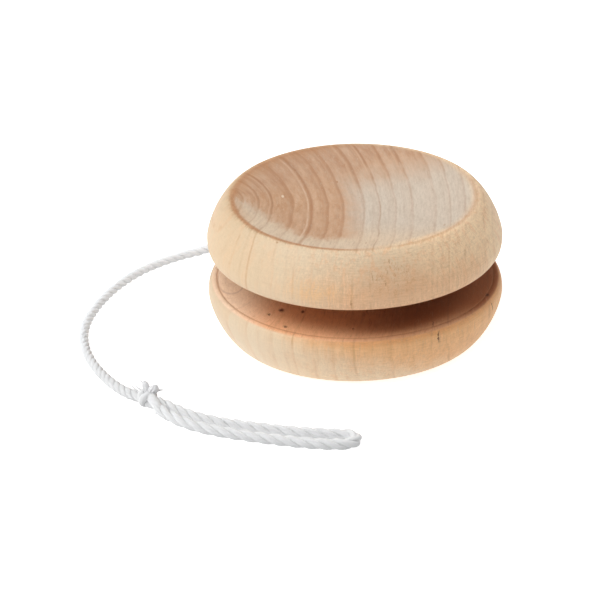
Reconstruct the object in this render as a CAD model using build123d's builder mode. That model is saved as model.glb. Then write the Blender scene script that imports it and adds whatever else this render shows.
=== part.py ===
from build123d import *

import os
from math import cos, pi, radians, sin, tan

# A turned wooden yo-yo: two halves glued on a dowel axle, with a twisted cotton string.
# +Z is the axle's line, the lower rim stands on z = 0, and the origin is under the axle.
# The finger loop lies towards -X and -Y. All sizes are in millimetres.

# driving dimensions: the turned halves
DIAMETER = 57.0
HEIGHT = 27.66
BULGE_FROM_MIDDLE = 5.8  # where each half is widest, up or down from the middle
RIM_RADIUS = 23.6  # the crest round each dished outer face
RIM_LAND = 0.8  # width of the narrow flat on the crest
DISH_DEPTH = 2.8
RIM_SLOPE = 24.0  # degrees, how steeply the side runs up to the crest
INNER_EDGE_RADIUS = 26.9  # the edge of each face that looks into the string gap
GAP_AT_EDGE = 6.26
GAP_AT_AXLE = 5.5

# driving dimensions: the axle
AXLE_DIAMETER = 8.0
SOCKET_DEPTH = 5.8
SOCKET_END_ROOM = 0.3  # glue space past each end of the dowel
AXLE_CHAMFER = 0.4

# driving dimensions: the string
STRING_DIAMETER = 1.25
LOOP_DIAMETER = 1.7
WINDING_CLEARANCE = 0.05  # between the innermost turn and the axle
WINDING_RADIUS = 9.6
WINDING_WIDTH = 4.9
WINDING_ROUNDING = 0.6
KNOT_LENGTH = 7.0
KNOT_THICKNESS = 3.2
KNOT_CENTRE = (-38.6, -33.7, 1.65)
KNOT_HEADING = -46.0  # degrees about Z
TAIL_BASE_DIAMETER = 1.0
TAIL_TIP_DIAMETER = 1.3
TAIL_ENDS = (((-39.7, -32.5, 2.75), (-40.1, -31.9, 5.2)), ((-38.4, -34.1, 2.75), (-37.6, -33.9, 5.0)))

# The free stretch of string: out of the gap at the back, down to the ground and round to the knot.
RUN_ROUTE = (
    (2.1, 10.34, 13.83),
    (-5.2, 16.6, 13.9),
    (-13.9, 25.0, 13.6),
    (-19.4, 29.6, 9.8),
    (-23.6, 32.2, 4.2),
    (-29.2, 32.2, 0.8),
    (-37.2, 28.2, 0.64),
    (-44.3, 21.6, 0.64),
    (-50.0, 11.2, 0.64),
    (-53.4, -1.6, 0.64),
    (-51.9, -13.6, 0.64),
    (-47.4, -23.6, 0.64),
    (-42.9, -29.8, 0.9),
    (-40.2, -32.0, 1.5),
)

# The finger loop: from the knot out to its tip and back to the knot.
LOOP_ROUTE = (
    (-37.1, -34.0, 1.5),
    (-33.4, -36.9, 1.1),
    (-27.6, -40.4, 0.87),
    (-19.0, -43.15, 0.87),
    (-10.6, -45.2, 0.87),
    (-4.6, -46.0, 0.87),
    (-1.2, -46.2, 0.87),
    (0.2, -47.9, 0.87),
    (-1.1, -49.8, 0.87),
    (-4.6, -50.0, 0.87),
    (-10.4, -49.05, 0.87),
    (-19.0, -46.8, 0.87),
    (-28.5, -43.4, 0.87),
    (-34.2, -39.7, 1.1),
    (-37.4, -36.2, 1.5),
)

radius = DIAMETER / 2
middle = HEIGHT / 2
axle_radius = AXLE_DIAMETER / 2
socket_end = GAP_AT_AXLE / 2 + SOCKET_DEPTH


def half_outline(side):
    """Close one half's section in the open line builder; side is 1 for the upper half, -1 for the lower."""

    def at(across, from_middle):
        return (across, middle + side * from_middle)

    def towards(across, up):
        return (across, side * up)

    crest_outside = at(RIM_RADIUS + RIM_LAND / 2, middle)
    crest_inside = at(RIM_RADIUS - RIM_LAND / 2, middle)
    widest = at(radius, BULGE_FROM_MIDDLE)
    edge = at(INNER_EDGE_RADIUS, GAP_AT_EDGE / 2)
    Polyline(
        at(0, middle - DISH_DEPTH),
        at(0, socket_end),
        at(axle_radius, socket_end),
        at(axle_radius, GAP_AT_AXLE / 2),
        edge,
    )
    Spline(edge, widest, tangents=(towards(1, 0), towards(0, 1)))
    slope = towards(-cos(radians(RIM_SLOPE)), sin(radians(RIM_SLOPE)))
    Spline(widest, at(27.35, 9.3), crest_outside, tangents=(towards(0, 1), slope))
    Line(crest_outside, crest_inside)
    Spline(crest_inside, at(0, middle - DISH_DEPTH), tangents=(towards(-2, -1), towards(-1, 0)))


def smooth_path(route):
    """Straight runs joined by tangent arcs, each as large as its two runs allow."""
    points = [Vector(*point) for point in route]
    bends = []
    for before, corner, after in zip(points, points[1:], points[2:]):
        shorter = min((corner - before).length, (after - corner).length)
        half_turn = radians((corner - before).get_angle(after - corner)) / 2
        bends.append(0.45 * shorter / tan(half_turn))
    print("bend radii:", [round(bend, 1) for bend in bends])
    return FilletPolyline(*points, radius=bends)


# upper half: the half whose dished face looks up
with BuildPart() as upper_half:
    with BuildSketch(Plane.XZ):
        with BuildLine():
            half_outline(1)
        make_face()
    revolve(axis=Axis.Z)
upper_half.part.label = "upper_half"

# lower half: the same turning, the other way up
with BuildPart() as lower_half:
    with BuildSketch(Plane.XZ):
        with BuildLine():
            half_outline(-1)
        make_face()
    revolve(axis=Axis.Z)
lower_half.part.label = "lower_half"

# axle: a plain dowel glued into a blind socket in each half
with BuildPart() as axle:
    with BuildSketch(Plane.XY.offset(middle - socket_end + SOCKET_END_ROOM)):
        Circle(axle_radius)
    extrude(amount=2 * (socket_end - SOCKET_END_ROOM))
    chamfer(axle.edges().filter_by(GeomType.CIRCLE), AXLE_CHAMFER)
axle.part.label = "axle"

# string winding: the outer shape of all the wound turns, which turn on the axle
with BuildPart() as string_winding:
    with BuildSketch(Plane.XY.offset(middle - WINDING_WIDTH / 2)):
        Circle(WINDING_RADIUS)
        Circle(axle_radius + WINDING_CLEARANCE, mode=Mode.SUBTRACT)
    extrude(amount=WINDING_WIDTH)
    outer_edges = string_winding.edges().filter_by(GeomType.CIRCLE).group_by(SortBy.RADIUS)[-1]
    fillet(outer_edges, WINDING_ROUNDING)
string_winding.part.label = "string_winding"

# string run: the free stretch from the winding to the knot
with BuildPart() as string_run:
    with BuildLine() as run_path:
        smooth_path(RUN_ROUTE)
    with BuildSketch(run_path.line ^ 0):
        Circle(STRING_DIAMETER / 2)
    sweep(path=run_path.line)
string_run.part.label = "string_run"

# finger loop: the doubled end that goes over a finger
with BuildPart() as finger_loop:
    with BuildLine() as loop_path:
        smooth_path(LOOP_ROUTE)
    with BuildSketch(loop_path.line ^ 0):
        Circle(LOOP_DIAMETER / 2)
    sweep(path=loop_path.line)
finger_loop.part.label = "finger_loop"

# string knot: the overhand knot that closes the loop, as a plain egg
knot_plane = Plane(
    origin=KNOT_CENTRE,
    x_dir=(cos(radians(KNOT_HEADING)), sin(radians(KNOT_HEADING)), 0),
    z_dir=(0, 0, 1),
)
with BuildPart(knot_plane) as string_knot:
    with BuildSketch(knot_plane):
        Ellipse(KNOT_LENGTH / 2, KNOT_THICKNESS / 2)
        with Locations((0, -KNOT_THICKNESS)):
            Rectangle(2 * KNOT_LENGTH, 2 * KNOT_THICKNESS, mode=Mode.SUBTRACT)
    revolve(axis=Axis(knot_plane.origin, knot_plane.x_dir))
string_knot.part.label = "string_knot"

# knot tails: the two cut ends that stand up out of the knot
with BuildPart() as knot_tails:
    for base, tip in TAIL_ENDS:
        base_plane = Plane(origin=base, z_dir=Vector(*tip) - Vector(*base))
        tip_plane = Plane(origin=tip, z_dir=Vector(*tip) - Vector(*base))
        with BuildSketch(base_plane):
            Circle(TAIL_BASE_DIAMETER / 2)
        with BuildSketch(tip_plane):
            Circle(TAIL_TIP_DIAMETER / 2)
        loft()
knot_tails.part.label = "knot_tails"

for name, piece, path, width in (
    ("string_run", string_run, run_path, STRING_DIAMETER),
    ("finger_loop", finger_loop, loop_path, LOOP_DIAMETER),
):
    length = path.wires()[0].length
    share = piece.part.volume / (pi * width**2 / 4 * length)
    print(name, "length", round(length, 1), "volume over section times length", round(share, 3))

os.makedirs("parts", exist_ok=True)
export_step(upper_half.part, "parts/upper_half.step")
export_step(lower_half.part, "parts/lower_half.step")
export_step(axle.part, "parts/axle.step")
export_step(string_winding.part, "parts/string_winding.step")
export_step(string_run.part, "parts/string_run.step")
export_step(finger_loop.part, "parts/finger_loop.step")
export_step(string_knot.part, "parts/string_knot.step")
export_step(knot_tails.part, "parts/knot_tails.step")
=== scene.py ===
import math

import bpy
import numpy as np
from bpy.props import FloatProperty, FloatVectorProperty, IntProperty, PointerProperty
from mathutils import Euler, Matrix, Vector


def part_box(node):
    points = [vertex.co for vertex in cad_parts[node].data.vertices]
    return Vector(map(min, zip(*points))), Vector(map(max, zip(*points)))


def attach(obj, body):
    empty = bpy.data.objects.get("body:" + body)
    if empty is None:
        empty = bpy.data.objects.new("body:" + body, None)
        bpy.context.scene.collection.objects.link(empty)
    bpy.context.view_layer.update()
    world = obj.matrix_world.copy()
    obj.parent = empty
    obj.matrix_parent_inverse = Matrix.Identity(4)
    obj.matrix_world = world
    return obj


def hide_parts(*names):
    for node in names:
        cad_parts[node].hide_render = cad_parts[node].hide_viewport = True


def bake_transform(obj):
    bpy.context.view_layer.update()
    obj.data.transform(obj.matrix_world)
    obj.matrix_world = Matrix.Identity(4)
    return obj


bl_info = {
    "name": "Turned wooden yo-yo",
    "version": (1, 0, 0),
    "blender": (4, 5, 0),
    "location": "3D View > Sidebar > Yo-yo",
    "description": "Turns a wooden yo-yo, winds and lays its cotton string and ties the finger loop",
    "category": "Add Mesh",
}

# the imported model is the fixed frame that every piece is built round
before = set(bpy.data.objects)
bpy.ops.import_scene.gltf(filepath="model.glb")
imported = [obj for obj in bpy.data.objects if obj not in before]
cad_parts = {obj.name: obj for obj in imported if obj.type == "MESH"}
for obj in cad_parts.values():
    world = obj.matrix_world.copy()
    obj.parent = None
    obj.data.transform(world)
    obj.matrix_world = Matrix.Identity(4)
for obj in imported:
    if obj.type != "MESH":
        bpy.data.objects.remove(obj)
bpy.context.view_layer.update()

MM = 0.001
# soft cotton lies flat on the ground, this far above it
GROUND_CONTACT = 0.02 * MM
UPPER_LOW, UPPER_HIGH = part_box("upper_half")
_, LOWER_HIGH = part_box("lower_half")
_, AXLE_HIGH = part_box("axle")
WINDING_LOW, WINDING_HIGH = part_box("string_winding")
KNOT_LOW, KNOT_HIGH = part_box("string_knot")

MIDDLE = (UPPER_LOW.z + LOWER_HIGH.z) / 2
OUTER_RADIUS = UPPER_HIGH.x
HALF_HEIGHT = UPPER_HIGH.z - MIDDLE
GAP_AT_AXLE = UPPER_LOW.z - MIDDLE
AXLE_RADIUS = AXLE_HIGH.x
SOCKET_END = AXLE_HIGH.z - MIDDLE + 0.3 * MM

# The free stretch of string: out of the gap at the back, down to the ground and round to the knot.
RUN_ROUTE = (
    (0.0021, 0.01034, 0.01383),
    (-0.0052, 0.0166, 0.0139),
    (-0.0139, 0.0250, 0.0136),
    (-0.0194, 0.0296, 0.0098),
    (-0.0236, 0.0322, 0.0042),
    (-0.0292, 0.0322, 0.0008),
    (-0.0372, 0.0282, 0.00064),
    (-0.0443, 0.0216, 0.00064),
    (-0.0500, 0.0112, 0.00064),
    (-0.0534, -0.0016, 0.00064),
    (-0.0519, -0.0136, 0.00064),
    (-0.0474, -0.0236, 0.00064),
    (-0.0429, -0.0298, 0.0009),
    (-0.0402, -0.0320, 0.0015),
)

# The finger loop: from the knot out to its tip and back to the knot.
LOOP_ROUTE = (
    (-0.0371, -0.0340, 0.0015),
    (-0.0334, -0.0369, 0.0011),
    (-0.0276, -0.0404, 0.00087),
    (-0.0190, -0.04315, 0.00087),
    (-0.0106, -0.0452, 0.00087),
    (-0.0046, -0.0460, 0.00087),
    (-0.0012, -0.0462, 0.00087),
    (0.0002, -0.0479, 0.00087),
    (-0.0011, -0.0498, 0.00087),
    (-0.0046, -0.0500, 0.00087),
    (-0.0104, -0.04905, 0.00087),
    (-0.0190, -0.0468, 0.00087),
    (-0.0285, -0.0434, 0.00087),
    (-0.0342, -0.0397, 0.0011),
    (-0.0374, -0.0362, 0.0015),
)

# where the string's winding ends and the straight run out of the gap begins
LEAVING_ANGLE = math.radians(49.0)

# distances between the points that the wound string, and the free string and the loop, are swept along
WOUND_STEP = 0.6 * MM
FREE_STEP = 0.22 * MM

STRANDS_IN_ROPE = 3


class WoodSettings(bpy.types.PropertyGroup):
    """Sizes and colours of the turned halves."""

    bulge: FloatProperty(
        name="Bulge", description="Height of the widest ring above the middle",
        default=5.8 * MM, unit="LENGTH",
    )
    crest_radius: FloatProperty(
        name="Crest radius", description="Radius of the crest round the dish",
        default=23.6 * MM, unit="LENGTH",
    )
    crest_land: FloatProperty(
        name="Crest land", description="Width of the narrow flat on the crest",
        default=0.8 * MM, unit="LENGTH",
    )
    dish_depth: FloatProperty(
        name="Dish depth", description="How deep each outer face is dished",
        default=2.8 * MM, unit="LENGTH",
    )
    inner_edge: FloatProperty(
        name="Inner edge", description="Radius where the inner face turns up",
        default=26.9 * MM, unit="LENGTH",
    )
    gap_at_edge: FloatProperty(
        name="Half gap at edge", description="Half the string gap at the edge",
        default=3.13 * MM, unit="LENGTH",
    )
    segments: IntProperty(name="Segments", description="Faces round each half", default=256, min=48)
    ring_spacing: FloatProperty(
        name="Ring spacing", description="Distance between growth rings, in millimetres", default=3.34
    )
    side_pale: FloatVectorProperty(
        name="Pale edge", description="Palest side grain",
        default=(0.655, 0.495, 0.32), subtype="COLOR", size=3,
    )
    side_orange: FloatVectorProperty(
        name="Orange edge", description="Warmer side grain",
        default=(0.785, 0.46, 0.25), subtype="COLOR", size=3,
    )


class StringSettings(bpy.types.PropertyGroup):
    """Sizes and colour of the cotton string."""

    thickness: FloatProperty(
        name="String", description="Thickness of the wound string", default=1.25 * MM, unit="LENGTH"
    )
    loop_thickness: FloatProperty(
        name="Loop", description="Thickness of the string in the finger loop",
        default=1.9 * MM, unit="LENGTH",
    )
    turns: IntProperty(name="Turns", description="Turns wound on the axle", default=17, min=1)
    rows: IntProperty(name="Rows", description="Turns side by side in a layer", default=4, min=1)
    layer_pitch: FloatProperty(
        name="Layer pitch", description="Distance between layers of turns",
        default=1.08 * MM, unit="LENGTH",
    )
    lay: FloatProperty(
        name="Lay", description="Length of one whole twist of the string",
        default=5.4 * MM, unit="LENGTH",
    )
    loop_lay_out: FloatProperty(
        name="Loop lay, out", description="Length of one twist where the loop leaves the knot",
        default=7.2 * MM, unit="LENGTH",
    )
    loop_lay_back: FloatProperty(
        name="Loop lay, back", description="Length of one twist where the loop comes back",
        default=9.4 * MM, unit="LENGTH",
    )
    cotton: FloatVectorProperty(
        name="Cotton", description="Colour of the cotton",
        default=(0.765, 0.77, 0.775), subtype="COLOR", size=3,
    )


class StageSettings(bpy.types.PropertyGroup):
    """The floor, the lights and the camera."""

    camera_distance: FloatProperty(
        name="Camera distance", description="From the lens to the middle of the yo-yo",
        default=0.7264, unit="LENGTH",
    )
    camera_elevation: FloatProperty(
        name="Camera elevation", description="Height of the camera above the horizon",
        default=math.radians(26.44), subtype="ANGLE",
    )
    camera_pitch: FloatProperty(
        name="Camera pitch", description="How far the camera looks down",
        default=math.radians(27.04), subtype="ANGLE",
    )
    camera_yaw: FloatProperty(
        name="Camera yaw", description="How far the camera looks to the left",
        default=math.radians(0.952), subtype="ANGLE",
    )
    camera_roll: FloatProperty(
        name="Camera roll", description="How far the camera leans",
        default=math.radians(-1.15), subtype="ANGLE",
    )
    lens: FloatProperty(name="Lens", description="Focal length in millimetres", default=225.0)
    key_light: FloatProperty(
        name="Key light", description="Strength of the low light at the left",
        default=0.92,
    )
    high_light: FloatProperty(
        name="High light", description="Strength of the high light, front left",
        default=1.3,
    )
    front_light: FloatProperty(
        name="Front light", description="Strength of the high light in front",
        default=0.65,
    )
    back_light: FloatProperty(
        name="Back light", description="Strength of the low light, back left",
        default=0.35,
    )
    right_light: FloatProperty(
        name="Right light", description="Strength of the light at the right",
        default=0.85,
    )
    from_below: FloatProperty(
        name="From below", description="Light that the white surroundings send up", default=1.3
    )
    eye_level: FloatProperty(
        name="Eye level", description="Light that the white surroundings send level", default=0.15
    )
    from_above: FloatProperty(
        name="From above", description="Light that the white surroundings send down", default=0.15
    )
    floor_glow: FloatProperty(
        name="Floor glow", description="Light that the white floor gives off",
        default=0.62,
    )


class Value:
    """One output of a finish's nodes; arithmetic on it adds Math nodes."""

    def __init__(self, finish, socket):
        self.finish = finish
        self.socket = socket

    def math(self, operation, *values):
        inputs = dict(enumerate(values))
        return self.finish.node("ShaderNodeMath", {"operation": operation}, inputs)

    def __add__(self, other):
        return self.math("ADD", self, other)

    def __radd__(self, other):
        return self.math("ADD", other, self)

    def __sub__(self, other):
        return self.math("SUBTRACT", self, other)

    def __rsub__(self, other):
        return self.math("SUBTRACT", other, self)

    def __mul__(self, other):
        return self.math("MULTIPLY", self, other)

    def __rmul__(self, other):
        return self.math("MULTIPLY", other, self)

    def __truediv__(self, other):
        return self.math("DIVIDE", self, other)

    def __pow__(self, other):
        return self.math("POWER", self, other)

    def __abs__(self):
        return self.math("ABSOLUTE", self)


class Finish:
    """The nodes of a material or of the surroundings."""

    def __init__(self, owner):
        owner.use_nodes = True
        self.owner = owner
        self.tree = owner.node_tree
        self.tree.nodes.clear()

    def node(self, kind, settings=(), inputs=(), output=0):
        """Adds a node: its settings first, then the values or links of its sockets."""
        made = self.tree.nodes.new(kind)
        for name, value in dict(settings).items():
            setattr(made, name, value)
        for name, value in dict(inputs).items():
            if isinstance(value, Value):
                self.tree.links.new(value.socket, made.inputs[name])
            else:
                made.inputs[name].default_value = value
        return Value(self, made.outputs[output]) if made.outputs else None

    def noise(self, where, scale, detail=3.0, roughness=0.5, output="Fac"):
        inputs = {"Vector": where, "Scale": scale, "Detail": detail, "Roughness": roughness}
        return self.node("ShaderNodeTexNoise", {}, inputs, output)

    def ease(self, value, low, high):
        """0 below low, 1 above high and smooth between; low may be the larger one."""
        inputs = {"Value": value, "From Min": low, "From Max": high}
        return self.node("ShaderNodeMapRange", {"interpolation_type": "SMOOTHSTEP"}, inputs)

    def mix(self, share, first, second, blend="MIX"):
        """Mixes two colours; plain ones are linear red, green and blue."""
        plain = [c if isinstance(c, Value) else (*c, 1.0) for c in (first, second)]
        settings = {"data_type": "RGBA", "blend_type": blend}
        return self.node("ShaderNodeMix", settings, {0: share, 6: plain[0], 7: plain[1]}, 2)

    def over(self, base, *layers):
        """Lays colours over a base, one after another; each layer is its share and its colour."""
        for share, colour in layers:
            base = self.mix(share, base, colour)
        return base

    def vector(self, operation, *values, output=0):
        inputs = dict(enumerate(values))
        return self.node("ShaderNodeVectorMath", {"operation": operation}, inputs, output)

    def scaled(self, vector, factors):
        return self.vector("MULTIPLY", vector, factors)

    def parts(self, vector):
        """The x, y and z of a vector."""
        split = self.node("ShaderNodeSeparateXYZ", {}, {0: vector})
        return [Value(self, socket) for socket in split.socket.node.outputs]

    def joined(self, x, y, z):
        return self.node("ShaderNodeCombineXYZ", {}, {0: x, 1: y, 2: z})

    def near(self, where, spot, reach, soft=0.5):
        """1 at a spot, falling to 0 at its reach along x, y and z."""
        away = self.vector("SUBTRACT", where, spot)
        away = self.scaled(away, tuple(1.0 / r for r in reach))
        far = self.vector("LENGTH", away, output=1)
        return self.ease(far, 1.0, 1.0 - soft)

    def line_at(self, value, middle, inner, outer):
        """1 within inner of a middle value, falling to 0 at outer."""
        return 1.0 - self.ease(abs(value - middle), inner, outer)

    def bump(self, height, strength, distance):
        inputs = {"Height": height, "Strength": strength, "Distance": distance}
        return self.node("ShaderNodeBump", {}, inputs)

    def surface(self, inputs):
        shader = self.node("ShaderNodeBsdfPrincipled", {}, inputs)
        self.node("ShaderNodeOutputMaterial", {}, {"Surface": shader})
        return self.owner


# where the centre of the tree stood, in millimetres from the axle's line
PITH = (-24.0, -1.0)

# distances from the pith to the ring that stands out and to the pale line inside it, in millimetres
STRONG_RING_AT = 16.3
PALE_LINE_AT = 15.55

# Tones of the dished ends, as linear red, green and blue.
# the two palest end tones are pale sapwood with a painted sheen over it
END_PALE_SHEEN = (0.62, 0.525, 0.425)
END_CREAM_SHEEN = (0.70, 0.55, 0.40)
END_HONEY = (0.74, 0.53, 0.365)
END_BROWN = (0.595, 0.365, 0.225)
END_UMBER = (0.53, 0.32, 0.205)
END_RUST = (0.42, 0.20, 0.095)
END_STRIPE = (0.40, 0.205, 0.11)
END_SPECK = (0.42, 0.22, 0.12)
END_GLEAM = (0.84, 0.68, 0.52)
RING_LINE = (0.36, 0.17, 0.085)
RING_GLOW = (0.82, 0.62, 0.45)
STRONG_RING = (0.40, 0.185, 0.09)
PALE_LINE = (0.86, 0.67, 0.50)

# Tones of the inner faces; the two browns at the end are painted shade in the string gap, in part darker
# heartwood.
INNER_PALE = (0.83, 0.62, 0.445)
INNER_TAN = (0.80, 0.445, 0.24)
INNER_GLEAM = (0.84, 0.57, 0.38)
INNER_STRIPE = (0.26, 0.10, 0.05)
INNER_LINE = (0.24, 0.10, 0.055)
# painted shade deep in the string gap, over a darker heartwood brown
UPPER_GAP_SHADE_BROWN = (0.34, 0.16, 0.09)
LOWER_GAP_SHADE_BROWN = (0.41, 0.14, 0.052)

# Tones of the edges.
EDGE_LINE = (0.44, 0.21, 0.09)
EDGE_GLEAM = (0.88, 0.72, 0.54)
TOOLED_BROWN = (0.52, 0.28, 0.13)
UPPER_CREAM = (0.725, 0.57, 0.39)
# painted light: the edge brighter at the right, where the right lamp falls
UPPER_RIGHT_PAINTED_LIGHT = (0.87, 0.64, 0.405)
AMBER = (0.80, 0.44, 0.15)
LOWER_PALE = (0.71, 0.565, 0.395)
LOWER_CREAM = (0.78, 0.585, 0.385)
# painted shade: the far left of the lower edge darkened against the key light
LOWER_LEFT_PAINTED_SHADE = (0.60, 0.47, 0.32)
LOWER_ORANGE = (0.84, 0.47, 0.215)
LOWER_RIM = (0.68, 0.31, 0.115)
LOWER_STREAK = (0.66, 0.32, 0.13)

# Tones of what turning, drying and knots have left.
SINGED_BROWN = (0.50, 0.25, 0.11)
CREST_BROWN = (0.46, 0.20, 0.08)
BURNT_LINE = (0.40, 0.175, 0.075)
KNOT_BROWN = (0.12, 0.045, 0.022)
STREAK_BROWN = (0.42, 0.19, 0.08)
PALE_FLECK = (0.93, 0.82, 0.66)

DOWEL_PALE = (0.74, 0.56, 0.37)
DOWEL_BROWN = (0.56, 0.36, 0.20)

# the cotton painted lighter and cooler towards the back, painted light where the string lies in low light
# warmed by the wood; and the white of its cut ends
COTTON_PAINTED_LIGHT = (0.925, 0.96, 1.0)
# painted light: the cut ends whiter than the string, against their self-shadowing
CUT_COTTON_PAINTED_LIGHT = (0.84, 0.84, 0.85)


class Grain:
    """The growth rings and the fine grain of one block of wood, worked out in millimetres."""

    def __init__(self, finish, look, offset):
        self.finish = finish
        texture = finish.node("ShaderNodeTexCoord", {}, {}, "Object")
        _, _, self.facing = finish.parts(Value(finish, texture.socket.node.outputs["Normal"]))
        self.place = finish.scaled(texture, (1000.0, 1000.0, 1000.0))
        self.x, self.y, z = finish.parts(self.place)
        self.height = z - MIDDLE / MM
        self.radius = (self.x * self.x + self.y * self.y) ** 0.5
        block = finish.vector("ADD", self.place, offset)
        block_x, block_y, block_z = finish.parts(block)

        # slow drifts, and the wander of each ring
        self.slow = finish.noise(block, 0.07, 2.0, 0.5)
        self.cloud = finish.noise(block, 0.22, 3.0, 0.55)
        wander = finish.noise(block, 0.13, 2.0, 0.5)
        rag = finish.noise(block, 2.0, 2.0, 0.6, "Color")
        self.ragged = finish.scaled(finish.vector("SUBTRACT", rag, (0.5, 0.5, 0.5)), (0.9, 0.9, 0.9))
        upward = finish.ease(self.y, -6.0, 6.0) * 0.25 + 0.42
        across = self.x - PITH[0] + (wander - 0.5) * 0.9 + self.height * 0.03
        along = (self.y - PITH[1]) * upward
        self.out = (across * across + along * along) ** 0.5

        # each ring darkens slowly outwards and ends in a thin line; 40 keeps the count above zero
        uneven = finish.noise(finish.joined(self.out * 0.16, block_z * 0.004, offset[0]), 1.0, 0.0)
        count = (self.out - 16.2) / look.ring_spacing + (uneven - 0.5) * 0.9 + 40.0
        inside = count.math("FRACT", count)
        which = count.math("FLOOR", count)
        one_way = {"noise_dimensions": "1D"}
        chance = finish.node("ShaderNodeTexWhiteNoise", one_way, {"W": which + offset[1]})
        strength = 0.25 + 0.75 * chance
        line = finish.line_at(inside, 0.89, 0.01, 0.085)
        faint = finish.line_at(inside, 0.45, 0.01, 0.12)
        self.line = (line + faint * 0.35) * strength * finish.ease(self.cloud, 0.25, 0.6)
        self.band = finish.ease(inside, 0.3, 0.93) * (1.0 - finish.ease(inside, 0.94, 1.0))
        self.lit = finish.line_at(inside, 0.72, 0.02, 0.10) * strength

        # fine grain: stripes, blots and specks along the rings, fibres up the trunk, pores and tool marks
        rings_way = finish.joined(self.out * 1.3, block_y * 0.12, block_z * 0.03)
        self.stripe = finish.noise(rings_way, 2.0, 5.0, 0.85)
        self.blot = finish.noise(finish.joined(self.out, block_y * 0.3, block_z * 0.1), 0.9, 5.0, 0.72)
        self.speck = finish.noise(finish.joined(block_x, block_y * 0.3, block_z * 0.3), 2.1, 5.0, 0.9)
        self.lively = 0.28 + 0.72 * finish.ease(self.x - self.y * 0.4, -10.0, 12.0)
        self.fibre = finish.noise(finish.scaled(block, (1.0, 1.0, 0.12)), 2.6, 5.0, 0.82)
        self.streak = finish.noise(finish.scaled(block, (1.0, 1.0, 0.06)), 0.7, 3.0, 0.6)
        self.pore = finish.noise(block, 2.6, 4.0, 0.85)
        self.tool = finish.noise(finish.scaled(block, (0.1, 0.1, 1.0)), 5.0, 3.0, 0.7)


def dish_tones(grain):
    """The dished end grain: brown heartwood at the back left; at the right and in front pale sapwood with
    a painted sheen over it.
    """
    finish, x, y = grain.finish, grain.x, grain.y
    heart = finish.ease(grain.out + (grain.cloud - 0.5) * 5.5 + (grain.blot - 0.5) * 3.0, 27.0, 21.0)
    heart = heart * finish.ease(y + x * 1.33 + (grain.blot - 0.5) * 9.0, -32.0, -25.5)
    heart = heart * finish.ease(y + (grain.blot - 0.5) * 6.0, -18.5, -13.5)
    tan = finish.ease(y - x * 0.33 + (grain.cloud - 0.5) * 6.0, 3.0, 18.0)
    brown = heart.math("MAXIMUM", heart, tan * 0.95)
    deep = finish.ease(y - x * 0.5 + (grain.cloud - 0.5) * 14.0, 8.0, 25.0)
    # pale sapwood with a painted sheen, cream towards the front
    pale = finish.mix(finish.ease(y + x * 0.4, -3.0, -17.0), END_PALE_SHEEN, END_CREAM_SHEEN)
    face = finish.mix(brown * 0.96, pale, finish.mix(deep * 0.9, END_BROWN, END_UMBER))

    # one ring stands out, with a pale line just inside it
    ring = finish.line_at(grain.out, STRONG_RING_AT, 0.05, 0.55) * finish.ease(grain.stripe, 0.2, 0.55)
    pale_line = finish.line_at(grain.out, PALE_LINE_AT, 0.05, 0.28) * finish.ease(grain.blot, 0.3, 0.6)
    rusty = finish.near(grain.place, (-13.5, 1.5, 25.0), (8.0, 6.5, 8.0), 0.9)
    return finish.over(
        face,
        (finish.ease(grain.blot, 0.48, 0.68) * (brown * 0.45), END_RUST),
        (finish.ease(grain.blot, 0.5, 0.34) * (brown * 0.30), END_HONEY),
        (rusty * finish.ease(grain.blot, 0.35, 0.6) * brown * 0.5, SINGED_BROWN),
        (grain.band * (brown * 0.42 + 0.10), END_RUST),
        (grain.line * (brown * 0.14 + 0.38), RING_LINE),
        (grain.lit * brown * 0.28, RING_GLOW),
        (ring * 0.48, STRONG_RING),
        (pale_line * 0.42, PALE_LINE),
        (finish.ease(grain.stripe, 0.5, 0.72) * (brown * 0.36 + 0.14), END_STRIPE),
        (finish.ease(grain.stripe, 0.48, 0.26) * (brown * 0.34 + 0.08), END_GLEAM),
        (finish.ease(grain.speck, 0.5, 0.68) * (brown * 0.45 + 0.14), END_SPECK),
        (finish.ease(grain.speck, 0.48, 0.3) * (brown * 0.40 + 0.08), END_GLEAM),
    )


def edge_grain(grain, side, dark, streaks):
    """Side grain over a base tone: upright streaks, the edges of the rings and the marks of the tool."""
    finish, lively = grain.finish, grain.lively
    return finish.over(
        side,
        (finish.ease(grain.streak, 0.48, 0.66) * lively * streaks, dark),
        (grain.band * 0.12, dark),
        (grain.line * finish.ease(grain.cloud, 0.38, 0.6) * 0.4, EDGE_LINE),
        (finish.ease(grain.fibre, 0.52, 0.72) * lively * 0.36, dark),
        (finish.ease(grain.fibre, 0.48, 0.3) * lively * 0.24, EDGE_GLEAM),
        (finish.ease(grain.tool, 0.5, 0.72) * (lively * 0.08 + 0.06), TOOLED_BROWN),
    )


def upper_side_tones(grain, look):
    """The edge of the upper half: cream at the left, orange low down in front."""
    finish, x, y = grain.finish, grain.x, grain.y
    pale, orange = tuple(look.side_pale), tuple(look.side_orange)
    front = finish.ease(x * 0.3 - y * 0.9 + (grain.slow - 0.5) * 8.0, 17.0, 26.5)
    low = finish.ease(grain.height + (grain.cloud - 0.5) * 7.0, 12.5, 6.0)
    side = finish.over(
        pale,
        (finish.ease(x, -24.0, -10.0), UPPER_CREAM),
        # painted light: the edge brighter towards the right, where the right lamp falls
        (finish.ease(x, 2.0, 20.0), UPPER_RIGHT_PAINTED_LIGHT),
        (front * (low * 0.72 + 0.08), orange),
    )
    side = edge_grain(grain, side, orange, 0.5)

    # dotted brown streaks and a soft amber patch in front
    streaked = finish.near(grain.place, (7.0, -26.5, 23.0), (9.0, 7.0, 5.5), 0.8)
    amber = finish.near(grain.place, (-8.0, -27.0, 20.4), (9.5, 6.0, 3.6), 1.0)
    return finish.over(
        side,
        (streaked * finish.ease(grain.fibre, 0.48, 0.64) * 0.7, STREAK_BROWN),
        (amber * finish.ease(grain.fibre, 0.34, 0.68) * 0.5, AMBER),
    )


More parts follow.
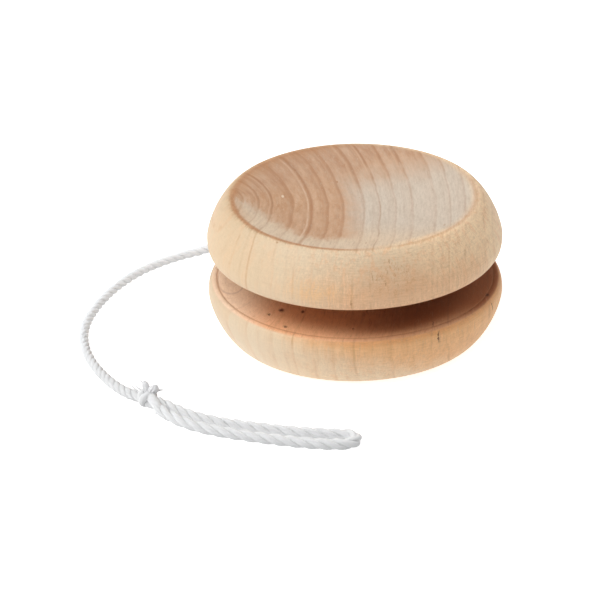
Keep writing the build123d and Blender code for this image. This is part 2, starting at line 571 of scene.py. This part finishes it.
def lower_side_tones(grain):
    """The edge of the lower half: pale at the left with painted shade at the far left, orange under its
    rim and at the right.
    """
    finish, x, y = grain.finish, grain.x, grain.y
    rightwards = x * 0.9 - y * 0.35 + (grain.height + 6.83) * 2.3 + (grain.cloud - 0.5) * 11.0
    rim = finish.ease(grain.height + (grain.fibre - 0.5) * 2.2, -4.9, -3.4) * finish.ease(x, -16.0, 4.0)
    side = finish.over(
        LOWER_PALE,
        (finish.ease(x, -20.0, -8.0), LOWER_CREAM),
        # painted shade darkening the far left, where the key light falls strongest
        (finish.ease(x, -17.0, -27.0) * 0.5, LOWER_LEFT_PAINTED_SHADE),
        (finish.ease(rightwards, -2.0, 20.0), LOWER_ORANGE),
        (rim * 0.7, LOWER_RIM),
    )
    return edge_grain(grain, side, LOWER_STREAK, 0.25)


def inner_tones(grain, gap_shade):
    """An inner face: pale at the left and brown towards the right, the brown partly heartwood and partly
    painted shade of the gap, eased near the front rim.
    """
    finish = grain.finish
    rightwards = grain.x * 0.9 - grain.y * 0.35 + (grain.stripe - 0.5) * 9.0
    darker = finish.ease(rightwards, -18.0, -5.0)
    lighter = finish.ease(grain.radius, 23.5, 26.9) * finish.ease(grain.y, -12.0, -22.0)
    return finish.over(
        INNER_PALE,
        (darker, INNER_TAN),
        # painted shade deep in the gap towards the right, eased near the front rim where the gap opens
        (finish.ease(rightwards, 3.0, 19.0) * (1.0 - lighter * 0.6), gap_shade),
        (finish.ease(grain.stripe, 0.48, 0.7) * (0.25 + 0.3 * darker), INNER_STRIPE),
        (finish.ease(grain.stripe, 0.48, 0.28) * 0.35, INNER_GLEAM),
        (grain.line * 0.3, INNER_LINE),
    )


def turning_marks(grain, look, colour, within):
    """The brown line that turning burnished on the crest, and the line scored round each inner face."""
    finish, x, y, radius = grain.finish, grain.x, grain.y, grain.radius
    left = finish.ease(grain.slow * 6.0 - x, -5.0, 9.0) * (1.0 - 0.45 * finish.ease(y, -2.0, 6.0))
    at_right = finish.ease(x - y * 0.5, 13.0, 23.0) * 0.42
    wide = 0.26 + 0.2 * finish.ease(y - x * 0.35, 4.0, 17.0) + 0.22 * finish.ease(grain.cloud, 0.4, 0.7)
    wavy = radius + (grain.fibre - 0.5) * 0.07
    outside = 1.0 - within
    crest_at = look.crest_radius / MM - 0.2
    crest = 1.0 - finish.ease(abs(wavy - crest_at) / (wide + 0.15), 0.2, 1.7)
    crest = crest * outside * (0.7 + 0.3 * finish.ease(grain.pore, 0.35, 0.6))
    singed = finish.line_at(radius, crest_at - 0.6, 0.3, 2.6) * finish.ease(x - y * 0.5, -12.0, -20.0)
    scored = finish.line_at(radius, look.inner_edge / MM - 0.1, 0.08, 0.26)
    return finish.over(
        colour,
        (singed * 0.3 * outside, SINGED_BROWN),
        (crest * (left * 0.85 + at_right), CREST_BROWN),
        (scored * finish.ease(abs(grain.height), 3.7, 3.3) * 0.5, BURNT_LINE),
    )


def shaded(grain, colour):
    """Fine light and dark: fibres and tool marks on the edge, specks and stripes on the ends."""
    finish = grain.finish
    rough = 0.55 * (grain.fibre - 0.5) + 0.2 * (grain.pore - 0.5) + 0.32 * (grain.tool - 0.5)
    rough = rough * (grain.lively * 0.9 + 0.1)
    ends = 0.45 * (grain.speck - 0.5) + 0.5 * (grain.stripe - 0.5)
    facing = finish.ease(abs(grain.facing), 0.75, 0.93)
    shade = (rough + facing * (ends - rough)) * 1.5
    tint = finish.joined(1.0 + shade, 1.0 + shade * 1.25, 1.0 + shade * 1.45)
    return finish.mix(1.0, colour, tint, "MULTIPLY")


def wood_finish(name, look, offset, upper):
    """Bare turned hardwood: end grain on the faces and side grain round the edge."""
    finish = Finish(bpy.data.materials.new(name))
    grain = Grain(finish, look, offset)
    # the inner faces carry painted shade of the string gap
    if upper:
        side = upper_side_tones(grain, look)
        inner = inner_tones(grain, UPPER_GAP_SHADE_BROWN)
    else:
        side = lower_side_tones(grain)
        inner = inner_tones(grain, LOWER_GAP_SHADE_BROWN)

    # the edge's tone comes over the crest, further in at the front right
    creep = finish.near(grain.place, (11.5, -20.5, 27.0), (13.0, 9.0, 8.0), 0.9)
    crossing = grain.radius - look.crest_radius / MM + creep * 1.6 + (grain.cloud - 0.5) * 0.15
    wider = finish.ease(grain.x - grain.y * 0.5, 4.0, 22.0)
    within = finish.ease(abs(grain.height), 3.5, 3.22)
    colour = finish.over(
        dish_tones(grain),
        (finish.ease(crossing, -0.6 - 1.6 * wider, 0.5 + 1.0 * wider), side),
        (within, inner),
    )
    colour = shaded(grain, turning_marks(grain, look, colour, within))

    ragged = finish.vector("ADD", grain.place, grain.ragged)
    for spot, reach, depth in (UPPER_MARKS if upper else LOWER_MARKS):
        mark = finish.near(ragged, spot, reach, 0.8) * depth
        colour = finish.mix(mark, colour, STREAK_BROWN if upper else KNOT_BROWN)
    for spot, reach, depth in (UPPER_FLECKS if upper else ()):
        colour = finish.mix(finish.near(grain.place, spot, reach) * depth, colour, PALE_FLECK)

    roughness = 0.5 + 0.14 * grain.fibre
    height = 0.4 * grain.fibre + 0.35 * grain.pore + 0.3 * grain.tool - 0.3 * grain.line
    bumped = finish.bump(height, 0.3, 0.00006)
    inputs = {"Base Color": colour, "Roughness": roughness, "Normal": bumped, "Specular IOR Level": 0.35}
    return finish.surface(inputs)


# Pin knots, flecks and drying cracks: the middle and the reach of each, in millimetres, and its strength.
UPPER_MARKS = (
    ((-3.3, 10.7, 25.5), (0.22, 0.45, 0.8), 0.85),
    ((2.1, -18.9, 26.7), (0.18, 0.9, 0.8), 0.6),
    ((2.2, -10.6, 25.6), (0.12, 0.8, 0.8), 0.5),
    ((17.0, -12.5, 27.2), (0.26, 0.6, 0.8), 0.6),
    ((15.0, 4.0, 26.5), (0.2, 0.3, 0.8), 0.5),
    ((1.1, 4.5, 25.0), (0.16, 0.4, 0.8), 0.5),
    ((-1.8, 16.7, 26.5), (0.25, 0.6, 0.8), 0.5),
    ((-14.6, -0.6, 26.2), (0.35, 1.3, 0.8), 0.45),
    ((3.2, -26.9, 23.8), (0.15, 0.8, 1.6), 0.7),
    ((6.3, -25.1, 25.9), (0.16, 0.8, 0.5), 0.75),
    ((5.6, -27.2, 22.3), (0.16, 0.8, 0.6), 0.6),
    ((5.9, -26.3, 24.3), (0.12, 0.8, 0.5), 0.5),
    ((-0.8, -28.4, 18.9), (0.16, 0.8, 1.9), 0.7),
    ((-14.6, -19.6, 27.4), (0.28, 0.28, 0.6), 0.6),
    ((-19.3, -13.7, 27.4), (0.4, 0.35, 0.6), 0.6),
)
LOWER_MARKS = (
    ((-14.1, -15.1, 10.8), (0.85, 1.1, 0.8), 0.95),
    ((-16.4, -16.7, 10.75), (0.45, 0.62, 0.8), 0.85),
    ((-10.0, -15.9, 10.8), (0.6, 0.9, 0.8), 0.9),
    ((-13.3, -21.8, 10.7), (0.5, 0.8, 0.8), 0.9),
    ((-0.5, -23.1, 10.8), (0.3, 0.6, 0.8), 0.6),
    ((15.6, -23.8, 9.2), (0.2, 1.4, 1.5), 0.95),
    ((14.6, -21.3, 10.7), (0.2, 1.5, 0.8), 0.8),
    ((25.3, -9.5, 10.7), (0.6, 0.8, 0.7), 0.9),
    ((26.2, -11.2, 9.2), (1.2, 0.18, 1.5), 0.8),
)
UPPER_FLECKS = (
    ((-18.8, 3.2, 26.0), (0.5, 0.5, 0.8), 0.5),
    ((-13.8, 3.6, 26.0), (0.35, 0.7, 0.8), 0.5),
)


def dowel_finish(name):
    """The dowel's straight pale grain."""
    finish = Finish(bpy.data.materials.new(name))
    place = finish.scaled(finish.node("ShaderNodeTexCoord", {}, {}, "Object"), (1000.0, 1000.0, 1000.0))
    fibre = finish.noise(finish.scaled(place, (1.0, 1.0, 0.05)), 2.2, 4.0, 0.6)
    colour = finish.mix(finish.ease(fibre, 0.35, 0.7), DOWEL_PALE, DOWEL_BROWN)
    bumped = finish.bump(fibre, 0.3, 0.00005)
    return finish.surface({"Base Color": colour, "Roughness": 0.55, "Normal": bumped})


def half_outline(look):
    """One half's section from the axle's line at the socket round to the dish, as radius and height."""
    points = [(0.0, SOCKET_END), (AXLE_RADIUS, SOCKET_END), (AXLE_RADIUS, GAP_AT_AXLE + 0.15 * MM)]
    rise = look.gap_at_edge - GAP_AT_AXLE
    score_width, score_depth = 0.16 * MM, 0.09 * MM
    for share in np.linspace(0.01, 1.0, 26):
        radius = AXLE_RADIUS + share * (look.inner_edge - 2 * score_width - AXLE_RADIUS)
        points.append((radius, GAP_AT_AXLE + rise * share))
    points.append((look.inner_edge - 1.3 * score_width, look.gap_at_edge + 0.2 * score_depth))
    points.append((look.inner_edge - 0.7 * score_width, look.gap_at_edge + score_depth))
    points.append((look.inner_edge - 0.2 * score_width, look.gap_at_edge + 0.25 * score_depth))
    inner_bend, outer_bend = 2.79, 1.41
    for turn in np.linspace(0.06, 0.5, 22) * math.pi:
        radius = look.inner_edge + (OUTER_RADIUS - look.inner_edge) * math.sin(turn) ** (2 / inner_bend)
        share = 1 - math.cos(turn) ** (2 / inner_bend)
        points.append((radius, look.gap_at_edge + (look.bulge - look.gap_at_edge) * share))
    shoulder = look.crest_radius + look.crest_land / 2
    for turn in np.linspace(0.02, 0.5, 40) * math.pi:
        radius = shoulder + (OUTER_RADIUS - shoulder) * math.cos(turn) ** (2 / outer_bend)
        height = look.bulge + (HALF_HEIGHT - look.bulge) * math.sin(turn) ** (2 / outer_bend)
        points.append((radius, height))
    lip = look.crest_radius - look.crest_land / 2
    for share in np.linspace(1.0, 0.0, 44) ** 0.8:
        points.append((lip * share, HALF_HEIGHT - look.dish_depth * (1 - share**2)))
    return points


# the outline's arrises are softened from this point on, just above its widest ring
SOFTENED_FROM = 56


def softened(points, start, passes):
    """Rounds the arrises of an outline from a given point on, leaving its two ends."""
    line = np.array(points)
    for _ in range(passes):
        inner = (line[start - 1:-2] + 2 * line[start:-1] + line[start + 1:]) / 4
        line[start:-1] = inner
    return [tuple(point) for point in line]


def turned(name, outline, side, segments):
    """A closed body of revolution about +Z, mirrored in the middle plane where side is -1."""
    on_axis = 1e-9
    rings = [point for point in outline if point[0] > on_axis]
    turn = np.arange(segments) * 2 * math.pi / segments
    vertices = []
    for radius, height in rings:
        z = MIDDLE + side * height
        vertices += [(radius * math.cos(a), radius * math.sin(a), z) for a in turn]
    ends = [MIDDLE + side * outline[0][1], MIDDLE + side * outline[-1][1]]
    first, last = len(vertices), len(vertices) + 1
    vertices += [(0.0, 0.0, ends[0]), (0.0, 0.0, ends[1])]
    faces = []
    for i in range(segments):
        j = (i + 1) % segments
        faces.append((first, j, i))
        top = (len(rings) - 1) * segments
        faces.append((last, top + i, top + j))
        for k in range(len(rings) - 1):
            low, high = k * segments, (k + 1) * segments
            faces.append((low + i, low + j, high + j, high + i))
    if side < 0:
        faces = [tuple(reversed(face)) for face in faces]
    return mesh_piece(name, vertices, faces)


def mesh_piece(name, vertices, faces, uvs=None):
    """A smooth-shaded mesh object in the scene; uvs holds one pair for each corner of each face."""
    mesh = bpy.data.meshes.new(name)
    mesh.from_pydata(vertices, [], faces)
    mesh.shade_smooth()
    if uvs is not None:
        layer = mesh.uv_layers.new(name="lay")
        layer.data.foreach_set("uv", np.array(uvs, np.float32).ravel())
    mesh.validate()
    mesh.update()
    piece = bpy.data.objects.new(name, mesh)
    bpy.context.scene.collection.objects.link(piece)
    return piece


def cotton_finish(name, colour, yarns, glow=0.5):
    """Matt twisted cotton: yarns drawn round each strand, loose fibres, a little unevenness, and painted
    light towards the back.
    """
    finish = Finish(bpy.data.materials.new(name))
    lay = finish.node("ShaderNodeUVMap", {"uv_map": "lay"})
    round_it, along_it, _ = finish.parts(lay)
    place = finish.scaled(finish.node("ShaderNodeTexCoord", {}, {}, "Object"), (1000.0, 1000.0, 1000.0))
    wobble = finish.noise(place, 1.6, 2.0)
    stripe = (round_it * yarns + along_it * 0.9 + wobble * 1.2) * (2 * math.pi)
    yarn = stripe.math("SINE", stripe) * 0.5 + 0.5
    drawn = finish.joined(round_it * 26.0 + along_it * 4.0, along_it * 1.1, wobble)
    fibre = finish.noise(drawn, 1.0, 3.0, 0.7)
    cloud = finish.noise(place, 0.5, 2.0)
    shade = 0.86 + 0.05 * yarn + 0.1 * fibre + 0.06 * cloud
    grey = finish.joined(shade, shade, shade)
    tone = finish.mix(1.0, tuple(colour), grey, "MULTIPLY")
    # painted light: the string brighter and cooler towards the back
    _, north, _ = finish.parts(place)
    tone = finish.mix(finish.ease(north, -25.0, 8.0) * 0.6, tone, COTTON_PAINTED_LIGHT)
    height = 0.55 * yarn + 0.6 * fibre
    bumped = finish.bump(height, 0.6, 0.00005)
    roughness = 0.78 + 0.15 * fibre
    inputs = {"Base Color": tone, "Roughness": roughness, "Normal": bumped, "Sheen Weight": 0.25,
              "Subsurface Weight": glow, "Subsurface Radius": (1.0, 1.0, 1.0), "Subsurface Scale": 0.0006}
    return finish.surface(inputs)


def smooth_route(points, steps=6):
    """Points read along the smooth line whose control points are given."""
    curve = bpy.data.curves.new("route", "CURVE")
    curve.dimensions = "3D"
    spline = curve.splines.new("NURBS")
    spline.points.add(len(points) - 1)
    for point, place in zip(spline.points, points):
        point.co = (*place, 1.0)
    spline.order_u = 3
    spline.use_endpoint_u = True
    spline.resolution_u = steps
    holder = bpy.data.objects.new("route", curve)
    mesh = bpy.data.meshes.new_from_object(holder)
    line = np.array([vertex.co for vertex in mesh.vertices])
    bpy.data.objects.remove(holder)
    bpy.data.curves.remove(curve)
    bpy.data.meshes.remove(mesh)
    return line


def arc_lengths(line):
    return np.concatenate([[0.0], np.linalg.norm(np.diff(line, axis=0), axis=1).cumsum()])


def at_lengths(line, lengths):
    """Points at given distances along a line."""
    along = arc_lengths(line)
    return np.stack([np.interp(lengths, along, line[:, k]) for k in range(3)], axis=1)


def unit(rows):
    return rows / np.maximum(np.linalg.norm(rows, axis=1, keepdims=True), 1e-12)


def carried_frames(line):
    """Tangents, and normals carried along the line without twist."""
    tangents = unit(np.gradient(line, axis=0))
    normal = np.cross(tangents[0], (0.0, 0.0, 1.0))
    if np.linalg.norm(normal) < 0.1:
        normal = np.cross(tangents[0], (0.0, 1.0, 0.0))
    normals = []
    for tangent in tangents:
        normal = normal - tangent * (normal @ tangent)
        normal = normal / np.linalg.norm(normal)
        normals.append(normal)
    normals = np.array(normals)
    return tangents, normals, np.cross(tangents, normals)


class Strands:
    """Collects swept strands into one mesh."""

    def __init__(self):
        self.vertices, self.faces, self.uvs = [], [], []

    def sweep(self, line, radii, sides, outward=None, squash=1.0):
        """A closed tube along a line; outward sets where round it the seam lies."""
        tangents, normals, binormals = carried_frames(line)
        if outward is not None:
            normals = unit(outward - tangents * (outward * tangents).sum(1, keepdims=True))
            binormals = np.cross(tangents, normals)
        start = len(self.vertices)
        along = arc_lengths(line) / MM
        for k, (centre, radius) in enumerate(zip(line, radii)):
            for side in range(sides):
                turn = 2 * math.pi * side / sides
                away = math.cos(turn) * squash * normals[k] + math.sin(turn) * binormals[k]
                at = centre + radius * away
                self.vertices.append((at[0], at[1], max(at[2], GROUND_CONTACT)))
        for k in range(len(line) - 1):
            for side in range(sides):
                low, high = start + k * sides, start + (k + 1) * sides
                after = (side + 1) % sides
                self.faces.append((low + side, low + after, high + after, high + side))
                u, v = side / sides, (side + 1) / sides
                self.uvs += [(u, along[k]), (v, along[k]), (v, along[k + 1]), (u, along[k + 1])]
        for ring, flip in ((0, True), (len(line) - 1, False)):
            cap = [start + ring * sides + side for side in range(sides)]
            self.faces.append(tuple(reversed(cap)) if flip else tuple(cap))
            self.uvs += [(side / sides, along[ring]) for side in range(sides)]

    def piece(self, name, material):
        made = mesh_piece(name, self.vertices, self.faces, self.uvs)
        made.data.materials.append(material)
        return made


def add_rope(strands, line, thickness, lays, sides, depth=1.0):
    """Lays strands round a line, right-handed; lays gives the length of one twist at each point.

    The thickness and the depth of the twist may also be given for each point.
    """
    tangents, normals, binormals = carried_frames(line)
    steps = np.gradient(arc_lengths(line))
    turn = np.cumsum(2 * math.pi * steps / lays)
    offset = 0.27 * thickness * depth * np.ones(len(line))
    strand_radius = 0.6 * thickness - offset
    for k in range(STRANDS_IN_ROPE):
        angle = turn + 2 * math.pi * k / STRANDS_IN_ROPE
        outward = np.cos(angle)[:, None] * normals + np.sin(angle)[:, None] * binormals
        strands.sweep(line + offset[:, None] * outward, strand_radius, sides, outward)


def winding_points(cord):
    """The wound turns, from the axle outwards, as points of the string's route."""
    per_turn = 16
    # in the last part of each turn the string steps over to the next row
    stepping = 0.25
    row_step = (WINDING_HIGH.z - WINDING_LOW.z - cord.thickness) / (cord.rows - 1)
    points = []
    for step in range(cord.turns * per_turn):
        turn = step / per_turn
        layer, row = divmod(int(turn), cord.rows)
        share = turn - int(turn)
        shift = max(0.0, (share - 1 + stepping) / stepping)
        height = (row + shift - (cord.rows - 1) / 2) * row_step
        climb = 0.0
        if row == cord.rows - 1:
            height = (cord.rows - 1) / 2 * row_step
            climb = shift
        if layer % 2:
            height = -height
        if layer == cord.turns // cord.rows:
            height = -(cord.rows - 1) / 2 * row_step * (1 - share)
        radius = AXLE_RADIUS + 0.05 * MM + cord.thickness / 2 + (layer + climb) * cord.layer_pitch
        angle = LEAVING_ANGLE + 2 * math.pi * turn
        points.append((radius * math.cos(angle), radius * math.sin(angle), MIDDLE + height))
    return points


class YOYO_OT_turn_halves(bpy.types.Operator):
    """Turn the upper and lower halves and give them their grain"""

    bl_idname = "yoyo.turn_halves"
    bl_label = "Turn the halves"

    def execute(self, context):
        look = context.scene.yoyo_wood
        outline = softened(half_outline(look), start=SOFTENED_FROM, passes=16)
        for name, side, offset in (("upper", 1, (0.0, 0.0, 0.0)), ("lower", -1, (61.0, 23.0, 40.0))):
            half = turned(f"{name}_half_turned", outline, side, look.segments)
            half.data.materials.append(wood_finish(f"{name} half wood", look, offset, side > 0))
            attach(half, "yoyo")
            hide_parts(f"{name}_half")
        return {"FINISHED"}


class YOYO_OT_finish_axle(bpy.types.Operator):
    """Give the dowel axle its bare wood"""

    bl_idname = "yoyo.finish_axle"
    bl_label = "Finish the axle"

    def execute(self, context):
        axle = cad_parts["axle"]
        axle.data.materials.clear()
        axle.data.materials.append(dowel_finish("axle dowel wood"))
        return {"FINISHED"}


class YOYO_OT_lay_string(bpy.types.Operator):
    """Wind the string on the axle, lay its free end on the ground, and tie the knot"""

    bl_idname = "yoyo.lay_string"
    bl_label = "Wind and lay the string"

    def execute(self, context):
        cord = context.scene.yoyo_string
        cotton = cotton_finish("cotton string", cord.cotton, 5)
        wound = winding_points(cord)
        line = smooth_route(wound + list(RUN_ROUTE))
        total = arc_lengths(line)[-1]
        free = arc_lengths(smooth_route(RUN_ROUTE))[-1]
        lengths = np.concatenate([
            np.arange(0.0, total - free, WOUND_STEP),
            np.arange(total - free, total, FREE_STEP),
        ])
        centre = at_lengths(line, lengths)
        strands = Strands()
        # off the winding the string swells, and near the knot its twist is nearly worn away
        slack = np.clip((lengths - total + free) / (6.0 * MM), 0.0, 1.0)
        worn = np.clip((lengths - total) / (26.0 * MM) + 1.0, 0.0, 1.0)
        thick = cord.thickness * (1.0 + 0.26 * slack + 0.24 * worn**2)
        add_rope(strands, centre, thick, np.full(len(centre), cord.lay), sides=10, depth=1.0 - 0.6 * worn)
        string = strands.piece("string", cotton)
        knot = tie_knot(cord, cotton)
        # the cut ends painted whiter, as painted light against their self-shadowing
        tails = fray_tails(cotton_finish("cotton ends", CUT_COTTON_PAINTED_LIGHT, 5, 0.0))
        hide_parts("string_winding", "string_run")
        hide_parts("string_knot")
        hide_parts("knot_tails")
        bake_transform(string)
        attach(knot, "finger_end")
        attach(tails, "finger_end")
        return {"FINISHED"}


def knot_frame():
    """The knot's middle, and its directions towards the loop, across and up."""
    middle = (KNOT_LOW + KNOT_HIGH) / 2
    heading = math.radians(-46.0)
    forward = Vector((math.cos(heading), math.sin(heading), 0.0))
    across = Vector((-forward.y, forward.x, 0.0))
    return [np.array(vector) for vector in (middle, forward, across, (0.0, 0.0, 1.0))]


def tie_knot(cord, cotton):
    """The overhand knot: the doubled string's two fat strands leave a tight wrap towards the loop."""
    middle, forward, across, up = knot_frame()
    strands = Strands()

    def placed(a, b, c):
        """Points from distances along, across and up, in millimetres from the knot's middle."""
        return middle + MM * (np.outer(a, forward) + np.outer(b, across) + np.outer(c, up))

    # the string coming in, swelling into the knot
    share = np.linspace(0.0, 1.0, 40)
    line = placed(-3.9 + 3.2 * share, 0.1 * share, -0.35 + 0.35 * share)
    strands.sweep(line, (0.95 + 0.3 * share) * MM, 14)
    # two strands side by side, twisting a third of a turn on their way into the loop's legs
    share = np.linspace(0.0, 1.0, 80)
    for side in (0.0, math.pi):
        angle = side - 2.2 + 2.2 * np.minimum(1.0, share * 1.25)
        spread = 0.72 + 0.42 * share
        fat = (0.98 - 0.1 * share) * np.minimum(1.0, 0.55 + 6.0 * share) * (1.0 - 0.5 * share**6)
        sideways = spread * np.cos(angle) + 0.22 * share
        upwards = 0.25 + spread * 0.8 * np.sin(angle) - 0.7 * share
        strands.sweep(placed(-1.4 + 6.6 * share, sideways, upwards), fat * MM, 16)
    # the wraps that hold them: one broad turn in front of the tails and a smaller one behind
    turn = np.linspace(0.0, 1.0, 60)
    for at, tilt, size, fat, start in ((-0.75, 0.55, 1.12, 0.74, 0.35), (-2.0, -0.4, 0.82, 0.68, 1.1)):
        angle = (start + 2.0 * turn) * math.pi
        upwards = 0.1 + size * 0.9 * np.sin(angle)
        line = placed(at + tilt * np.sin(angle + 0.6), size * np.cos(angle), upwards)
        strands.sweep(line, np.full(len(turn), fat * MM), 14)
    return strands.piece("knot", cotton)


def fray_tails(cotton):
    """The two cut ends, opened into brushes of yarn, and a few loose fibres."""
    middle, forward, across, up = knot_frame()
    strands = Strands()
    # each brush's foot and tip, in millimetres along, across and up from the middle, and half width
    brushes = (((-1.2, 0.35, 0.9), (-1.75, 0.15, 3.6), 0.60), ((-0.5, 0.3, 0.9), (0.4, 1.4, 3.0), 0.85))
    yarns = 23
    for foot, tip, width in brushes:
        foot, tip = (middle + MM * (p[0] * forward + p[1] * across + p[2] * up) for p in (foot, tip))
        lean = unit(np.array([tip - foot]))[0]
        wide = unit(np.array([np.cross(lean, across - forward)]))[0]
        deep = np.cross(lean, wide)
        for k in range(yarns):
            turn, ring = 2.4 * k, math.sqrt(k / yarns)
            share = np.linspace(0.0, 1.0, 14)
            fan = (0.30 + 0.70 * np.sin(share * math.pi * 0.60)) * ring * width * MM
            fan = fan * (1.0 - 0.35 * np.maximum(share - 0.6, 0.0) / 0.4)
            offset = math.cos(turn) * wide + 0.6 * math.sin(turn) * deep
            high = 1.0 - 0.14 * ring**2
            line = foot + (share * high)[:, None] * (tip - foot) + fan[:, None] * offset
            radii = 0.25 * MM * np.sqrt(np.maximum(1.0 - share**6, 0.06))
            strands.sweep(line, radii, 7)
    # start, bend and end of each loose fibre
    wisps = (
        ((-2.4, -0.3, 0.7), (-3.2, -0.9, 1.7), (-4.3, -1.6, 2.6)),
        ((-2.2, 0.2, 0.9), (-2.9, -0.3, 1.7), (-3.3, -1.0, 2.4)),
        ((-0.3, 0.9, 1.2), (0.6, 1.6, 1.9), (1.1, 2.6, 1.7)),
        ((-0.2, 0.7, 1.6), (0.7, 1.3, 2.2), (1.4, 1.9, 2.2)),
        ((-1.4, 0.2, 2.4), (-2.0, -0.3, 3.3), (-2.5, -0.4, 3.9)),
    )
    for wisp in wisps:
        points = [middle + MM * (a * forward + b * across + c * up) for a, b, c in wisp]
        line = smooth_route([tuple(point) for point in points], 10)
        strands.sweep(line, np.linspace(0.2, 0.06, len(line)) * MM, 6)
    return strands.piece("knot_tails_frayed", cotton)


class YOYO_OT_form_finger_loop(bpy.types.Operator):
    """Lay the finger loop on the ground, out from the knot and back"""

    bl_idname = "yoyo.form_finger_loop"
    bl_label = "Form the finger loop"

    def execute(self, context):
        cord = context.scene.yoyo_string
        cotton = bpy.data.materials["cotton string"]
        line = smooth_route(LOOP_ROUTE, 24)
        total = arc_lengths(line)[-1]
        centre = at_lengths(line, np.arange(0.0, total, FREE_STEP))
        share = np.linspace(0.0, 1.0, len(centre))
        lays = cord.loop_lay_out + (cord.loop_lay_back - cord.loop_lay_out) * share
        strands = Strands()
        add_rope(strands, centre, cord.loop_thickness, lays, sides=12)
        loop = strands.piece("finger_loop_twisted", cotton)
        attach(loop, "finger_end")
        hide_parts("finger_loop")
        return {"FINISHED"}


def soft_light(name, bearing, height, strength, spread):
    """A broad lamp far off: its bearing from +X and its height above the ground are in degrees."""
    light = bpy.data.lights.new(name, "SUN")
    light.energy = strength
    light.angle = math.radians(spread)
    lamp = bpy.data.objects.new(name, light)
    lamp.rotation_euler = Euler((0.0, math.radians(90.0 - height), math.radians(bearing)))
    bpy.context.scene.collection.objects.link(lamp)


def white_surroundings(stage):
    """White to look at, and soft light from all round: bounced up from below, dim at eye level."""
    world = bpy.data.worlds.new("white surroundings")
    finish = Finish(world)
    sky = finish.node("ShaderNodeTexCoord", {}, {}, "Generated")
    east, _, up = finish.parts(sky)
    below = finish.ease(up, 0.05, -0.25)
    above = finish.ease(up, 0.1, 0.9)
    bounce = stage.from_below * (1.0 - 0.4 * east)
    strength = stage.eye_level + below * (bounce - stage.eye_level)
    strength = strength + above * (stage.from_above - stage.eye_level)
    soft = finish.node("ShaderNodeBackground", {}, {"Color": (1.0, 1.0, 1.0, 1.0), "Strength": strength})
    plain = finish.node("ShaderNodeBackground", {}, {"Color": (1.0, 1.0, 1.0, 1.0), "Strength": 1.0})
    seen = finish.node("ShaderNodeLightPath", {}, {}, "Is Camera Ray")
    both = finish.node("ShaderNodeMixShader", {}, {0: seen, 1: soft, 2: plain})
    finish.node("ShaderNodeOutputWorld", {}, {"Surface": both})
    return world


class YOYO_OT_set_stage(bpy.types.Operator):
    """Set the white floor, the lights and the camera"""

    bl_idname = "yoyo.set_stage"
    bl_label = "Set the stage"

    def execute(self, context):
        stage = context.scene.yoyo_stage
        half = 3.0
        corners = [(-half, -half, 0.0), (half, -half, 0.0), (half, half, 0.0), (-half, half, 0.0)]
        floor = mesh_piece("floor", corners, [(0, 1, 2, 3)])
        paint = Finish(bpy.data.materials.new("white floor"))
        glow = {"Base Color": (0.9, 0.9, 0.9, 1.0), "Roughness": 0.9, "Specular IOR Level": 0.1,
                "Emission Color": (1.0, 1.0, 1.0, 1.0), "Emission Strength": stage.floor_glow}
        floor.data.materials.append(paint.surface(glow))
        floor.visible_diffuse = False

        context.scene.world = white_surroundings(stage)
        soft_light("key light", 184.0, 36.0, stage.key_light, 32.0)
        soft_light("high light", 203.0, 60.0, stage.high_light, 40.0)
        soft_light("front light", 270.0, 62.0, stage.front_light, 40.0)
        soft_light("back light", 150.0, 30.0, stage.back_light, 30.0)
        soft_light("right light", 20.0, 35.0, stage.right_light, 40.0)

        centre = Vector((0.0, 0.0, MIDDLE))
        camera = bpy.data.objects.new("camera", bpy.data.cameras.new("camera"))
        context.scene.collection.objects.link(camera)
        elevation = stage.camera_elevation
        back = Vector((0.0, -math.cos(elevation), math.sin(elevation)))
        camera.location = centre + back * stage.camera_distance
        aim = Euler((math.pi / 2 - stage.camera_pitch, 0.0, stage.camera_yaw)).to_matrix()
        camera.rotation_euler = (aim @ Matrix.Rotation(stage.camera_roll, 3, "Z")).to_euler()
        camera.data.lens = stage.lens
        camera.data.sensor_width = 36.0
        camera.data.clip_end = 20.0
        context.scene.camera = camera
        context.scene.view_settings.view_transform = "Standard"
        return {"FINISHED"}


OPERATORS = (
    YOYO_OT_set_stage,
    YOYO_OT_turn_halves,
    YOYO_OT_finish_axle,
    YOYO_OT_lay_string,
    YOYO_OT_form_finger_loop,
)


class YOYO_PT_panel(bpy.types.Panel):
    """Lists the yo-yo's pieces and their settings."""

    bl_label = "Yo-yo"
    bl_idname = "YOYO_PT_panel"
    bl_space_type = "VIEW_3D"
    bl_region_type = "UI"
    bl_category = "Yo-yo"

    def draw(self, context):
        for operator in OPERATORS:
            self.layout.operator(operator.bl_idname)
        for group in ("yoyo_wood", "yoyo_string", "yoyo_stage"):
            settings = getattr(context.scene, group)
            box = self.layout.box()
            for name in settings.__annotations__:
                box.prop(settings, name)


GROUPS = {"yoyo_wood": WoodSettings, "yoyo_string": StringSettings, "yoyo_stage": StageSettings}


def register():
    for group in (*GROUPS.values(), *OPERATORS, YOYO_PT_panel):
        bpy.utils.register_class(group)
    for name, group in GROUPS.items():
        setattr(bpy.types.Scene, name, PointerProperty(type=group))


def unregister():
    for name in GROUPS:
        delattr(bpy.types.Scene, name)
    for group in (YOYO_PT_panel, *reversed(OPERATORS), *reversed(GROUPS.values())):
        bpy.utils.unregister_class(group)


def main():
    register()
    for operator in OPERATORS:
        family, action = operator.bl_idname.split(".")
        getattr(getattr(bpy.ops, family), action)()


if __name__ == "__main__":
    main()
